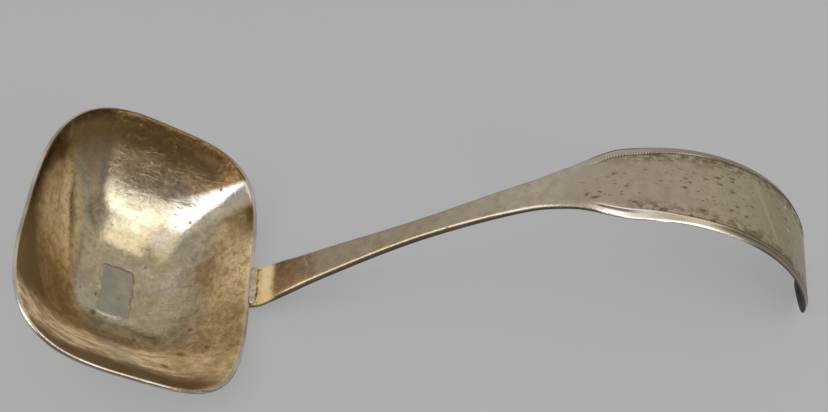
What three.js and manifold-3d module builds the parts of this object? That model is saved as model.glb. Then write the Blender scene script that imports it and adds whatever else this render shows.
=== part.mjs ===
// Sauce ladle of worn silver with a gilt bowl: a rounded-square bowl, a forged handle that is
// hooked at its end, the solder that joins them, and a small repair plate in the bowl.
// Millimetres, +Z up. The ladle stands as it does on a table: on the flat worn into the bowl's
// wall, and on the end of the handle. The origin is the middle of that flat. +X runs from the
// bowl to the end of the handle, and Y runs across.

import * as THREE from 'three';
import { mergeVertices } from 'three/addons/utils/BufferGeometryUtils.js';
import Module from 'manifold-3d';

const wasm = await Module();
wasm.setup();

const degrees = Math.PI / 180;

// Driving sizes of the bowl
const bowlHalfLength = 29;      // along the handle, to the rim's outer edge
const bowlHalfWidth = 36.8;     // across the handle, to the rim's outer edge
const bowlDepth = 19.5;         // outside, from the rim at the handle to the lowest point
const bowlWall = 0.9;           // sheet thickness in the floor
const rimThickness = 1.2;       // the rim is hammered thicker than the wall
const rimCrown = 0.35;          // height of the rim's rounded top
const rimRise = 3.1;            // the two long sides stand this much higher than the ends
const frontSquareness = 3.1;    // power of the outline, 2 is an ellipse
const handleSquareness = 3.8;   // the outline is squarer on the handle's side
const floorShare = 0.1;         // share of the way out at which the floor starts to rise
const wallShare = 0.73;         // share of the way out at which the wall is straight
const wornFlatDepth = 0.35;     // metal worn off where the bowl stands

// Driving sizes of the handle, all along its top face
const heelLength = 6.5;         // tongue under the rim, on the bowl's outer wall
const heelTipWidth = 7;
const heelRounding = 3.5;       // length of its rounded tip
const rootLength = 3;           // bend from the wall to the stem
const rootWidth = 11.8;
const flareLength = 19;         // from the rim to half-way between the root and the waist
const stemLength = 72;
const stemRise = 69;            // degrees up from the rim's plane where the stem starts
const stemBend = 6.5;           // degrees that the whole stem bends over
const waistPlace = 49;          // narrowest place, from the rim
const waistWidth = 6;
const neckWidth = 8.3;          // where the hook starts
const crookLength = 97;         // the hook, from the stem to the end
const crookTurn = 105.7;        // degrees
const crookTwist = 11;          // degrees that its end has been twisted out of true
const crookEasing = 8;          // length over which the stem runs into the hook
const throatPlace = 9.5;        // where the hook starts to widen, from the stem
const throatWidth = 11.6;
const shoulderPlace = 23.5;     // where it is wide, from the stem
const shoulderWidth = 20;
const widestPlace = 24;         // from the end
const terminalWidth = 23;
const endWidth = 22.3;          // where the end starts to be rounded
const endRounding = 8;          // length of the rounded end
const endSquareness = 3.2;      // power of the rounded end's outline
const heelThickness = 0.8;      // at its tip, so that it stays clear of the table
const rootThickness = 1.9;
const stemThickness = 2.3;
const thickFrom = 14;           // the stem is thickest between these two places, from the rim
const thickTo = 53;
const terminalThickness = 1.3;
const stemRounding = 0.35;      // of the top edges, as a share of the thickness
const terminalRounding = 0.22;
const stemBelly = 0.45;         // of the underside, as a share of the thickness
const terminalBelly = 0.3;
const grooveDepth = 0.3;        // line cut inside the border of the wide end
const grooveRunIn = 10;         // length over which the line grows to its depth

// Driving sizes of the repair and of the joints
const patchLength = 7.6;        // along the handle
const patchWidth = 13.6;
const patchThickness = 0.5;
const patchX = 0.9;             // its middle, from the middle of the bowl
const patchY = -2.7;
const patchSolderWidth = 0.9;
const patchSolderHeight = 0.35;
const patchSolderBulge = 0.8;   // share of that height half-way out
const seamRadius = 0.45;        // bead between the rim and the handle
const seamEndRadius = 0.27;
const seamTaper = 0.35;         // length of each thinned end
const jointGap = 0.3;           // clearance between pieces that are soldered together

// Fineness of the meshes
const outlineSteps = 72;
const bowlRings = 14;
const patchSteps = 6;
const patchRings = 3;
const seamSides = 8;
const pathStep = 0.25;
const leanHalvings = 50;
const onTable = 1e-3;           // how near a corner lies to the table to be on it
const nearlyClosed = 0.995;     // where a rounded end's last section lies, as a share

const silver = new THREE.MeshStandardMaterial({ color: 0xa9a08c, roughness: 0.32, metalness: 1 });
const gilt = new THREE.MeshStandardMaterial({ color: 0xa98a55, roughness: 0.3, metalness: 1 });
const plate = new THREE.MeshStandardMaterial({ color: 0x8c8f8d, roughness: 0.45, metalness: 1 });
const solder = new THREE.MeshStandardMaterial({ color: 0x9a958a, roughness: 0.4, metalness: 1 });

// Join rings of points, all with the same count, into one closed body. The two ends are closed
// by fans, or the last ring is joined to the first.
function skin(rings, { loop = false } = {}) {
  const count = rings[0].length;
  const points = rings.flat();
  const triangles = [];
  const lastRing = loop ? rings.length : rings.length - 1;
  for (let ring = 0; ring < lastRing; ring++) {
    const here = ring * count;
    const next = ((ring + 1) % rings.length) * count;
    for (let i = 0; i < count; i++) {
      const j = (i + 1) % count;
      triangles.push([here + i, next + i, next + j], [here + i, next + j, here + j]);
    }
  }
  if (!loop) {
    closeEnd(points, triangles, 0, count, false);
    closeEnd(points, triangles, (rings.length - 1) * count, count, true);
  }
  return bodyFrom(points, triangles);
}

function closeEnd(points, triangles, start, count, isLast) {
  const middle = new THREE.Vector3();
  for (let i = 0; i < count; i++) middle.addScaledVector(points[start + i], 1 / count);
  const centre = points.push(middle) - 1;
  for (let i = 0; i < count; i++) {
    const j = (i + 1) % count;
    const fan = isLast ? [centre, start + j, start + i] : [centre, start + i, start + j];
    triangles.push(fan);
  }
}

// A BufferGeometry whose faces point outwards
function bodyFrom(points, triangles) {
  let volume = 0;
  for (const [a, b, c] of triangles) {
    volume += points[a].dot(new THREE.Vector3().crossVectors(points[b], points[c])) / 6;
  }
  const index = triangles.flatMap(([a, b, c]) => (volume > 0 ? [a, b, c] : [a, c, b]));
  const geometry = new THREE.BufferGeometry().setFromPoints(points);
  geometry.setIndex(index);
  return geometry;
}

function smoothStep(value) {
  const t = THREE.MathUtils.clamp(value, 0, 1);
  return t * t * (3 - 2 * t);
}

// Height of a bowl's section from 0 at the middle to 1 at the rim. The slope grows smoothly
// from the floor to the wall, and the wall is straight.
const wallSlope = 1 / (1 - (floorShare + wallShare) / 2);

function sectionHeight(share) {
  const t = THREE.MathUtils.clamp((share - floorShare) / (wallShare - floorShare), 0, 1);
  const curved = (wallShare - floorShare) * (t ** 3 - t ** 4 / 2);
  return wallSlope * (curved + Math.max(share - wallShare, 0));
}

function sectionSlope(share) {
  return wallSlope * smoothStep((share - floorShare) / (wallShare - floorShare));
}

const outside = { halfLength: bowlHalfLength, halfWidth: bowlHalfWidth, depth: bowlDepth };
const inside = {
  halfLength: bowlHalfLength - rimThickness,
  halfWidth: bowlHalfWidth - rimThickness,
  depth: bowlDepth - bowlWall,
};

function squareness(x) {
  return x > 0 ? handleSquareness : frontSquareness;
}

// Share of the way from the middle to the rim at a point of the plan
function shareAt(surface, x, y) {
  const power = squareness(x);
  const partX = Math.abs(x / surface.halfLength) ** power;
  const partY = Math.abs(y / surface.halfWidth) ** power;
  return (partX + partY) ** (1 / power);
}

function bowlHeight(surface, x, y) {
  const rise = rimRise * (y / surface.halfWidth) ** 2;
  return rise - surface.depth * (1 - sectionHeight(shareAt(surface, x, y)));
}

function bowlRing(surface, share, lift = 0) {
  const ring = [];
  for (let i = 0; i < outlineSteps; i++) {
    const angle = (i / outlineSteps) * 2 * Math.PI;
    const x = Math.cos(angle);
    const y = Math.sin(angle);
    const reach = share / shareAt(surface, x, y);
    ring.push(new THREE.Vector3(x * reach, y * reach, bowlHeight(surface, x * reach, y * reach) + lift));
  }
  return ring;
}

function bowlBlank() {
  const rings = [];
  for (let i = 1; i <= bowlRings; i++) rings.push(bowlRing(inside, i / bowlRings));
  const crown = {
    halfLength: (inside.halfLength + outside.halfLength) / 2,
    halfWidth: (inside.halfWidth + outside.halfWidth) / 2,
    depth: outside.depth,
  };
  rings.push(bowlRing(crown, 1, rimCrown));
  for (let i = bowlRings; i >= 1; i--) rings.push(bowlRing(outside, i / bowlRings));
  return skin(rings);
}

// Places along the handle, from the rim
const stemEnd = rootLength + stemLength;
const handleEnd = stemEnd + crookLength;
const throat = stemEnd + throatPlace;
const shoulder = stemEnd + shoulderPlace;

// The top face of the handle in side view: a list of { at, x, z, heading }, where at is the
// distance along it from the rim's outer edge, and heading is in radians up from the rim's plane.
function handlePath() {
  const path = [];
  let share = 1;
  for (let at = 0; at > -heelLength; at -= pathStep) {
    const heading = Math.atan((outside.depth * sectionSlope(share)) / outside.halfLength);
    path.unshift({
      at,
      x: share * outside.halfLength + jointGap * Math.sin(heading),
      z: -outside.depth * (1 - sectionHeight(share)) - jointGap * Math.cos(heading),
      heading,
    });
    share -= (pathStep * Math.cos(heading)) / outside.halfLength;
  }
  const rim = path[path.length - 1];
  let { x, z } = rim;
  for (let at = pathStep; at <= handleEnd; at += pathStep) {
    const heading = headingAt(at - pathStep / 2, rim.heading);
    x += pathStep * Math.cos(heading);
    z += pathStep * Math.sin(heading);
    path.push({ at, x, z, heading: headingAt(at, rim.heading) });
  }
  return path;
}

function headingAt(at, wallHeading) {
  const intoRoot = smoothStep(at / rootLength);
  const start = THREE.MathUtils.lerp(wallHeading, stemRise * degrees, intoRoot);
  const alongStem = Math.max(at - rootLength, 0);
  const pastStem = alongStem - stemLength;
  const eased = (pastStem + Math.hypot(pastStem, crookEasing)) / 2;
  const stemLoss = (stemBend * Math.min(alongStem, stemLength)) / stemLength;
  return start - (stemLoss + (crookTurn * eased) / crookLength) * degrees;
}

// The place on the path at a distance from the rim
function placeOn(path, at) {
  const steps = (at - path[0].at) / pathStep;
  const i = THREE.MathUtils.clamp(Math.floor(steps), 0, path.length - 2);
  const between = (name) => THREE.MathUtils.lerp(path[i][name], path[i + 1][name], steps - i);
  return { at, x: between('x'), z: between('z'), heading: between('heading') };
}

// A size that changes smoothly along the handle, given at a few places as [at, value]. It has no
// bumps between the places: its slope there is 0 at a turning point, and otherwise the harmonic
// mean of the slopes on both sides.
function sizeAt(places, at) {
  const last = places.length - 1;
  if (at <= places[0][0]) return places[0][1];
  if (at >= places[last][0]) return places[last][1];
  const rise = (k) => (places[k + 1][1] - places[k][1]) / (places[k + 1][0] - places[k][0]);
  const slope = (k) => {
    if (k === 0 || k === last) return 0;
    const before = rise(k - 1);
    const after = rise(k);
    return before * after <= 0 ? 0 : (2 * before * after) / (before + after);
  };
  const i = places.findIndex(([place]) => place > at) - 1;
  const [start, from] = places[i];
  const [end, to] = places[i + 1];
  const t = (at - start) / (end - start);
  const blend = THREE.MathUtils.lerp(from, to, smoothStep(t));
  const leaving = t * (1 - t) ** 2 * slope(i);
  const arriving = t * t * (1 - t) * slope(i + 1);
  return blend + (end - start) * (leaving - arriving);
}

const widthPlaces = [
  [-heelLength, heelTipWidth],
  [0, rootWidth],
  [flareLength, (rootWidth + waistWidth) / 2],
  [waistPlace, waistWidth],
  [stemEnd, neckWidth],
  [throat, throatWidth],
  [shoulder, shoulderWidth],
  [handleEnd - widestPlace, terminalWidth],
  [handleEnd - endRounding, endWidth],
];
const thicknessPlaces = [
  [-heelLength, heelThickness],
  [0, rootThickness],
  [thickFrom, stemThickness],
  [thickTo, stemThickness],
  [(throat + shoulder) / 2, terminalThickness],
];

// How much of the width is left on the way out to a rounded end: 1 where its rounding starts
function leftAtEnd(outward) {
  const share = nearlyClosed * THREE.MathUtils.clamp(outward, 0, 1);
  return Math.sqrt(1 - share ** endSquareness);
}

function halfWidthAt(at) {
  const atTip = leftAtEnd(1 - (handleEnd - at) / endRounding);
  const atHeel = leftAtEnd(1 - (at + heelLength) / heelRounding);
  return (sizeAt(widthPlaces, at) / 2) * atTip * atHeel;
}

// Across the handle, as shares of the half width. The groove runs at the fourth.
const topShares = [0, 0.45, 0.72, 0.79, 0.86, 0.95, 1];
const grooveIndex = 3;
const undersideShares = [1, 0.93, 0.7, 0.35, 0];
const edgePower = 8;
const bellyPower = 4;

function handleSection({ at, x, z, heading }) {
  const half = halfWidthAt(at);
  const thick = sizeAt(thicknessPlaces, at);
  const spread = smoothStep((at - stemEnd) / (shoulder - stemEnd));
  const offBowl = smoothStep(at / rootLength);
  const edge = offBowl * thick * THREE.MathUtils.lerp(stemRounding, terminalRounding, spread);
  const belly = thick * THREE.MathUtils.lerp(stemBelly, terminalBelly, spread);
  const runIn = smoothStep((at - throat) / grooveRunIn);
  const runOut = smoothStep((handleEnd - endRounding - at) / endRounding);
  const groove = grooveDepth * runIn * runOut;
  const top = topShares.map((share, i) => {
    const cut = i === grooveIndex ? groove : 0;
    return [share * half, -edge * share ** edgePower - cut];
  });
  const underside = undersideShares.map((share) => {
    return [share * half, -thick + belly * share ** bellyPower];
  });
  const right = [...top, ...underside];
  const left = right.slice(1, -1).reverse().map(([across, height]) => [-across, height]);
  const twist = crookTwist * degrees * smoothStep((at - stemEnd) / crookLength);
  return [...right, ...left].map(([across, height]) => {
    const raised = across * Math.sin(twist) + height * Math.cos(twist);
    const sideways = across * Math.cos(twist) - height * Math.sin(twist);
    return new THREE.Vector3(x - raised * Math.sin(heading), sideways, z + raised * Math.cos(heading));
  });
}

// Stretches of the handle and how many sections each is cut into. The sections crowd towards a
// rounded end.
const stretches = [
  { from: -heelLength, to: -heelLength + heelRounding, count: 4, share: (t) => 1 - Math.cos(t) },
  { from: -heelLength + heelRounding, to: 0, count: 3 },
  { from: 0, to: rootLength, count: 4 },
  { from: rootLength, to: stemEnd, count: 15 },
  { from: stemEnd, to: shoulder, count: 12 },
  { from: shoulder, to: handleEnd - endRounding, count: 26 },
  { from: handleEnd - endRounding, to: handleEnd, count: 8, share: Math.sin },
];

function handleBody() {
  const path = handlePath();
  const sections = [];
  for (const { from, to, count, share } of stretches) {
    for (let i = 0; i < count; i++) {
      const t = i / count;
      const crowded = share ? share((t * Math.PI) / 2) : t;
      sections.push(handleSection(placeOn(path, THREE.MathUtils.lerp(from, to, crowded))));
    }
  }
  sections.push(handleSection(placeOn(path, handleEnd)));
  return skin(sections);
}

// The bead lies in the corner between the top of the rim and the handle's face.
function seamBody() {
  const middle = new THREE.Vector3(bowlHalfLength, 0, rimCrown + jointGap + seamRadius);
  const half = rootWidth / 2;
  const inner = half - seamTaper;
  const rings = [-half, -inner, inner, half].map((across) => {
    const radius = Math.abs(across) === half ? seamEndRadius : seamRadius;
    const ring = [];
    for (let i = 0; i < seamSides; i++) {
      const angle = ((i + 0.5) / seamSides) * 2 * Math.PI;
      const offset = new THREE.Vector3(Math.cos(angle), 0, Math.sin(angle));
      ring.push(middle.clone().addScaledVector(offset, radius).setY(across));
    }
    return ring;
  });
  return skin(rings);
}

// A height above the floor of the bowl
function onFloor(x, y, height) {
  return new THREE.Vector3(x, y, bowlHeight(inside, x, y) + jointGap + height);
}

// The corners and sides of a rectangle round the repair, each side cut into equal steps
function patchOutline(grow) {
  const halfX = patchLength / 2 + grow;
  const halfY = patchWidth / 2 + grow;
  const corners = [[1, 1], [-1, 1], [-1, -1], [1, -1]];
  const outline = [];
  corners.forEach(([x, y], i) => {
    const [nextX, nextY] = corners[(i + 1) % corners.length];
    for (let step = 0; step < patchSteps; step++) {
      const t = step / patchSteps;
      outline.push([
        patchX + halfX * THREE.MathUtils.lerp(x, nextX, t),
        patchY + halfY * THREE.MathUtils.lerp(y, nextY, t),
      ]);
    }
  });
  return outline;
}

function patchBody() {
  const full = patchOutline(0);
  const ringAt = (share, height) => full.map(([x, y]) => onFloor(
    patchX + (x - patchX) * share,
    patchY + (y - patchY) * share,
    height,
  ));
  const rings = [];
  for (let i = 1; i <= patchRings; i++) rings.push(ringAt(i / patchRings, patchThickness));
  for (let i = patchRings; i >= 1; i--) rings.push(ringAt(i / patchRings, 0));
  return skin(rings);
}

function patchSolderBody() {
  const inner = patchOutline(jointGap);
  const outer = patchOutline(jointGap + patchSolderWidth);
  const rings = inner.map(([x, y], i) => {
    const [outerX, outerY] = outer[i];
    return [
      onFloor(x, y, 0),
      onFloor(outerX, outerY, 0),
      onFloor((x + outerX) / 2, (y + outerY) / 2, patchSolderBulge * patchSolderHeight),
      onFloor(x, y, patchSolderHeight),
    ];
  });
  return skin(rings, { loop: true });
}

// Where a point of the ladle comes to lie when the ladle leans towards the handle
function leant(position, i, lean) {
  const x = position.getX(i);
  const z = position.getZ(i);
  return {
    forward: x * Math.cos(lean) + z * Math.sin(lean),
    height: z * Math.cos(lean) - x * Math.sin(lean),
  };
}

function lowest(geometry, lean, pastX = -Infinity) {
  const position = geometry.getAttribute('position');
  let height = Infinity;
  for (let i = 0; i < position.count; i++) {
    if (position.getX(i) > pastX) height = Math.min(height, leant(position, i, lean).height);
  }
  return height;
}

// The hook is all of the handle past this X.
const hookX = 2 * bowlHalfLength;

// How the ladle stands: it leans until the hook is level with the bowl, less the worn flat.
function findLean(bowl, handle) {
  let less = 0;
  let more = Math.PI / 2;
  for (let i = 0; i < leanHalvings; i++) {
    const lean = (less + more) / 2;
    const hookIsHigh = lowest(handle, lean, hookX) > lowest(bowl, lean) + wornFlatDepth;
    if (hookIsHigh) less = lean;
    else more = lean;
  }
  return (less + more) / 2;
}

// Cutting with manifold-3d
function toManifold(geometry) {
  const vertProperties = new Float32Array(geometry.getAttribute('position').array);
  const triVerts = new Uint32Array(geometry.getIndex().array);
  return new wasm.Manifold(new wasm.Mesh({ numProp: 3, vertProperties, triVerts }));
}

function fromManifold(solid) {
  const mesh = solid.getMesh();
  const geometry = new THREE.BufferGeometry();
  geometry.setAttribute('position', new THREE.BufferAttribute(new Float32Array(mesh.vertProperties), 3));
  geometry.setIndex(Array.from(mesh.triVerts));
  return geometry;
}

// The bowl with all that lies below the table taken off
function wornBowl(blank, lean, table) {
  const side = 4 * (bowlHalfLength + bowlHalfWidth);
  const below = new THREE.BoxGeometry(side, side, side);
  below.deleteAttribute('normal');
  below.deleteAttribute('uv');
  below.translate(0, 0, table - side / 2);
  below.rotateY(-lean);
  return fromManifold(toManifold(blank).subtract(toManifold(mergeVertices(below))));
}

// Where the middle of the worn flat is along the table
function flatMiddle(bowl, lean, table) {
  const position = bowl.getAttribute('position');
  const onFlat = [];
  for (let i = 0; i < position.count; i++) {
    const { forward, height } = leant(position, i, lean);
    if (height < table + onTable) onFlat.push(forward);
  }
  return (Math.min(...onFlat) + Math.max(...onFlat)) / 2;
}

const blank = bowlBlank();
const handleGeometry = handleBody();
const lean = findLean(blank, handleGeometry);
const table = lowest(handleGeometry, lean, hookX);
const bowlGeometry = wornBowl(blank, lean, table);

const resting = new THREE.Group();
resting.rotation.y = lean;
resting.position.set(-flatMiddle(bowlGeometry, lean, table), 0, -table);

const pieces = [
  ['bowl', bowlGeometry, gilt],
  ['handle', handleGeometry, silver],
  ['handle_solder', seamBody(), solder],
  ['bowl_patch', patchBody(), plate],
  ['patch_solder', patchSolderBody(), solder],
];
for (const [name, geometry, material] of pieces) {
  const mesh = new THREE.Mesh(geometry, material);
  mesh.name = name;
  resting.add(mesh);
}

const ladle = new THREE.Group();
ladle.add(resting);
export default ladle;
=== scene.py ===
# %% [markdown]
# # A worn silver sauce ladle
# The ladle has a rounded-square bowl that was gilt inside, a stem that rises from it, and a broad
# end that hooks over and down. It stands on its bowl and on the end of the hook. A small repair
# plate is soldered into the bowl.
# This lesson dresses a finished working model of it. That model says where each piece is, and the
# pieces modelled here take its place, with smoother shapes and with the marks of long use.

# %% Load the working model
import math

import bpy
from mathutils import Euler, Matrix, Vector


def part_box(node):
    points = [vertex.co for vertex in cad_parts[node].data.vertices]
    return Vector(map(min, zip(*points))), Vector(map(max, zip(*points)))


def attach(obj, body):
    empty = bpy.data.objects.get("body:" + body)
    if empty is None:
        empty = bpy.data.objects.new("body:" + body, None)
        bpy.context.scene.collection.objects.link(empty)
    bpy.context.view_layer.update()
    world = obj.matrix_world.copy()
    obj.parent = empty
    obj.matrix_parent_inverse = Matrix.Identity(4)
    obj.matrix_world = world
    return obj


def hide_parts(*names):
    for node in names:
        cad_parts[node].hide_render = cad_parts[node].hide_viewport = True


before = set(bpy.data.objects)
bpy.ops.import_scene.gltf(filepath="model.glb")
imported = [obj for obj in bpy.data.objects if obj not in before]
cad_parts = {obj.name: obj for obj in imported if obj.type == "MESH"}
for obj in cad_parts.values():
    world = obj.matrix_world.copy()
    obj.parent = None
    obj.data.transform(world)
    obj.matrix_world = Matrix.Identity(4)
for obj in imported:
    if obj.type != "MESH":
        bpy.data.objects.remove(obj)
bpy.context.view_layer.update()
bpy.ops.object.select_all(action="DESELECT")
mm = 0.001

# %% [markdown]
# ## The camera
# The picture is taken from above, from the side of the ladle. A camera is easiest to place by
# how it would be carried there: turned first, and then moved in its own directions.

# %% Place the camera
IMAGE_WIDTH = 828
SENSOR = 36
FOCAL_PIXELS = 1000
ELEVATION = math.radians(51.74)
AZIMUTH = math.radians(0.84)
CAMERA_RIGHT, CAMERA_UP, CAMERA_BACK = 62.34 * mm, 22.63 * mm, 254.7 * mm

camera_data = bpy.data.cameras.new("camera")
camera_data.sensor_width = SENSOR
camera_data.lens = SENSOR * FOCAL_PIXELS / IMAGE_WIDTH
camera_data.clip_start = 10 * mm
camera = bpy.data.objects.new("camera", camera_data)
bpy.context.scene.collection.objects.link(camera)
camera_turn = Euler((math.pi / 2 - ELEVATION, 0, -AZIMUTH))
camera.rotation_euler = camera_turn
camera.location = camera_turn.to_matrix() @ Vector((CAMERA_RIGHT, CAMERA_UP, CAMERA_BACK))
bpy.context.scene.camera = camera
print("camera at", camera.location)

# %% [markdown]
# ## Light
# Polished metal shows the room around it more than its own colour, so the lights are chosen for
# what the metal sees. Each is a soft box: a lamp behind a stretched white cloth. One on the left
# draws the bright line along the stem. A narrow slanting one makes the white band across the bowl,
# and a weak one beside it lifts the middle of the floor. A fourth, beyond the hook, turns the left
# of the floor cream, as a window would. A long and distant one lights the corner by the handle.

# %% Hang the soft boxes
SOFT_BOXES = (  # name, size, place, turn in degrees, brightness
    ("strip_box", (0.8, 0.32), (-0.62, -0.2, 0.52), 0, 2.3),
    ("slanting_box", (0.73, 0.11), (0.219, -0.405, 0.52), -38.7, 2.6),
    ("pale_box", (0.75, 0.3), (0.27, -0.17, 0.53), -38.7, 0.65),
    ("window_box", (0.42, 0.56), (0.7, -0.14, 0.54), 0, 1.4),
    ("distant_box", (2.5, 0.33), (1.5, -1.19, 0.52), -34, 2.6),
)


def hang_soft_box(name, size, place, turn, brightness):
    """An area lamp that looks down, as bright as brightness times a lit white card."""
    data = bpy.data.lights.new(name, "AREA")
    data.shape = "RECTANGLE"
    data.size, data.size_y = size
    data.energy = brightness * math.pi * size[0] * size[1]
    lamp = bpy.data.objects.new(name, data)
    lamp.location = place
    lamp.rotation_euler = (0, 0, math.radians(turn))
    bpy.context.scene.collection.objects.link(lamp)
    return lamp


for soft_box in SOFT_BOXES:
    lamp = hang_soft_box(*soft_box)
    print(lamp.name, "gives", round(lamp.data.energy, 2), "watts")

# %% [markdown]
# ## Shader sums
# A finish is a set of sums on patterns: so much tarnish here, less gold there. Written as Python
# expressions these read like the sums they are. A small class holds a socket and turns +, -, *
# and / into Math nodes. One method makes every other kind of node.

# %% Write shader sums as expressions
class Amount:
    """A number or colour that varies over a surface."""

    def __init__(self, finish, socket):
        self.finish = finish
        self.socket = socket

    def sum(self, operation, *terms, clamp=False):
        settings = {"operation": operation, "use_clamp": clamp}
        return self.finish.node("ShaderNodeMath", settings, dict(enumerate(terms)))

    def __add__(self, other):
        return self.sum("ADD", self, other)

    def __sub__(self, other):
        return self.sum("SUBTRACT", self, other)

    def __rsub__(self, other):
        return self.sum("SUBTRACT", other, self)

    def __mul__(self, other):
        return self.sum("MULTIPLY", self, other)

    def __truediv__(self, other):
        return self.sum("DIVIDE", self, other)

    def __pow__(self, other):
        return self.sum("POWER", self, other)

    __radd__ = __add__
    __rmul__ = __mul__

    def at_least(self, other):
        return self.sum("MAXIMUM", self, other)

    def size(self):
        return self.sum("ABSOLUTE", self)

    def cosine(self):
        return self.sum("COSINE", self)

    def clamped(self):
        return self.sum("ADD", self, 0.0, clamp=True)

    def step(self, low, high):
        """0 below low, 1 above high, and a smooth rise between. High may be below low."""
        settings = {"interpolation_type": "SMOOTHSTEP"}
        inputs = {"Value": self, "From Min": low, "From Max": high}
        return self.finish.node("ShaderNodeMapRange", settings, inputs)


# %% [markdown]
# The room and the finishes are both made of linked nodes. What both need is written once: the
# method that makes a node, sets it up, and feeds numbers or the results of other nodes to it.

# %% Link nodes, for the room and for finishes
class Nodes:
    """The linked nodes of a material or of the room."""

    def __init__(self, owner):
        owner.use_nodes = True
        self.tree = owner.node_tree
        self.tree.nodes.clear()

    def node(self, kind, settings=None, inputs=None, output=0):
        made = self.tree.nodes.new(kind)
        for name, value in (settings or {}).items():
            setattr(made, name, value)
        for name, value in (inputs or {}).items():
            self.feed(made.inputs[name], value)
        return Amount(self, made.outputs[output]) if made.outputs else None

    def feed(self, socket, value):
        if isinstance(value, Amount):
            self.tree.links.new(value.socket, socket)
        elif socket.type == "RGBA" and len(value) == 3:
            socket.default_value = (*value, 1)
        else:
            socket.default_value = value

    def part(self, axis, where):
        """How far a place lies along one axis."""
        return self.node("ShaderNodeSeparateXYZ", {}, {0: where}, output=axis)


# %% [markdown]
# Where no soft box hangs, the metal sees a plain grey room. It is darker on the camera's side,
# where the photographer stands.

# %% Paint the room grey
ROOM_DARK = 0.17
ROOM_LIGHT = 0.6
DARK_UNTIL = -0.8
LIGHT_FROM = 0.5

world = bpy.data.worlds.new("room")
room = Nodes(world)
direction = room.node("ShaderNodeTexCoord", output="Generated")
shade = room.node(
    "ShaderNodeMapRange",
    {"interpolation_type": "SMOOTHSTEP"},
    {
        "Value": room.part("Y", direction), "From Min": DARK_UNTIL, "From Max": LIGHT_FROM,
        "To Min": ROOM_DARK, "To Max": ROOM_LIGHT,
    },
)
glow = room.node("ShaderNodeBackground", {}, {"Color": shade})
room.node("ShaderNodeOutputWorld", {}, {"Surface": glow})
bpy.context.scene.world = world
bpy.context.scene.view_settings.view_transform = "Standard"
print("room:", len(room.tree.nodes), "nodes")

# %% [markdown]
# A finish is a material with one shader, which stands for how the surface takes the light. Its
# methods are named after what they give: places on the piece, patterns, spots, coats of colour.

# %% Make a finish
class Finish(Nodes):
    """A material made of nodes, with one Principled shader."""

    def __init__(self, name):
        self.material = bpy.data.materials.new(name)
        super().__init__(self.material)
        surface = self.node("ShaderNodeBsdfPrincipled")
        self.shader = surface.socket.node
        self.node("ShaderNodeOutputMaterial", {}, {"Surface": surface})

    def report(self):
        print(self.material.name, "has", len(self.tree.nodes), "nodes")

    def set(self, **sockets):
        for name, value in sockets.items():
            self.feed(self.shader.inputs[name.replace("_", " ")], value)

    def place(self):
        """Object coordinates, in metres."""
        return self.node("ShaderNodeTexCoord", output="Object")

    def turned(self, location, rotation):
        """Coordinates of an object that lies at that location and rotation."""
        settings = {"vector_type": "TEXTURE"}
        inputs = {"Vector": self.place(), "Location": location, "Rotation": rotation}
        return self.node("ShaderNodeMapping", settings, inputs)

    def stretched(self, where, scale):
        return self.node("ShaderNodeVectorMath", {"operation": "MULTIPLY"}, {0: where, 1: scale})

    def light_path(self, ray):
        return self.node("ShaderNodeLightPath", output=ray)

    def attribute(self, name):
        return self.node("ShaderNodeAttribute", {"attribute_name": name}, output="Fac")

    def noise(self, where, scale, detail=2.0, roughness=0.5, distortion=0.0):
        inputs = {
            "Vector": where, "Scale": scale, "Detail": detail,
            "Roughness": roughness, "Distortion": distortion,
        }
        return self.node("ShaderNodeTexNoise", {}, inputs)

    def spots(self, where, scale, size):
        """1 in the middle of scattered round spots, and 0 between them."""
        cells = self.node("ShaderNodeTexVoronoi", {}, {"Vector": where, "Scale": scale})
        return cells.step(size, 0.3 * size)

    def mix(self, share, first, second):
        settings = {"data_type": "RGBA"}
        return self.node("ShaderNodeMix", settings, {0: share, 6: first, 7: second}, output=2)

    def coated(self, colour, *coats):
        """Lay coats over a colour, one after another, each over its share of the surface."""
        for share, coat in coats:
            colour = self.mix(share, colour, coat)
        return colour

    def bump(self, height, distance, strength):
        inputs = {"Height": height, "Distance": distance, "Strength": strength}
        return self.node("ShaderNodeBump", {}, inputs)


# %% [markdown]
# ## The table
# The ladle stands on a plain grey table top that fills the picture. The lamps would make pools of
# light on it, so a part of what the camera and the metal see of it is its own even glow.

# %% Lay the table
TABLE_SIZE = 6
TABLE_DROP = 0.02
TABLE_GREY = 0.47
TABLE_SHOWN = 0.445
TABLE_GLOW = 0.65

bpy.ops.mesh.primitive_plane_add(size=TABLE_SIZE, location=(0, 0, -TABLE_DROP * mm))
table = bpy.context.object
table.name = "table"
table_finish = Finish("table_grey")
seen = table_finish.light_path("Is Camera Ray") + table_finish.light_path("Is Glossy Ray")
seen = (seen + table_finish.light_path("Is Transmission Ray")).clamped() * TABLE_GLOW
black, grey = (0, 0, 0), (TABLE_GREY,) * 3
table_finish.set(
    Base_Color=table_finish.mix(seen, grey, black),
    Emission_Color=table_finish.mix(seen, black, (TABLE_SHOWN,) * 3),
    Emission_Strength=1.0,
    Roughness=0.9,
    Specular_IOR_Level=0.0,
)
table.data.materials.append(table_finish.material)
print("table:", TABLE_SIZE, "metres square")

# %% [markdown]
# ## The bowl
# A silversmith raises such a bowl from flat sheet, with a hammer, from the rim down. Here it is
# drawn from the rim down too: a circle is pulled into the rounded square of the rim, and its
# edge is extruded again and again, each time a little smaller and a little deeper.

# %% Sizes of the bowl
HALF_LENGTH = 29
HALF_WIDTH = 36.8
DEPTH = 19.5
RIM_RISE = 3.1
FRONT_SQUARENESS = 3.1
HANDLE_SQUARENESS = 3.8
FLOOR_SHARE = 0.1
WALL_SHARE = 0.73
WALL_RUN = 1 - (FLOOR_SHARE + WALL_SHARE) / 2
BOWL_RINGS = 30
BOWL_POINTS = 96


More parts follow.
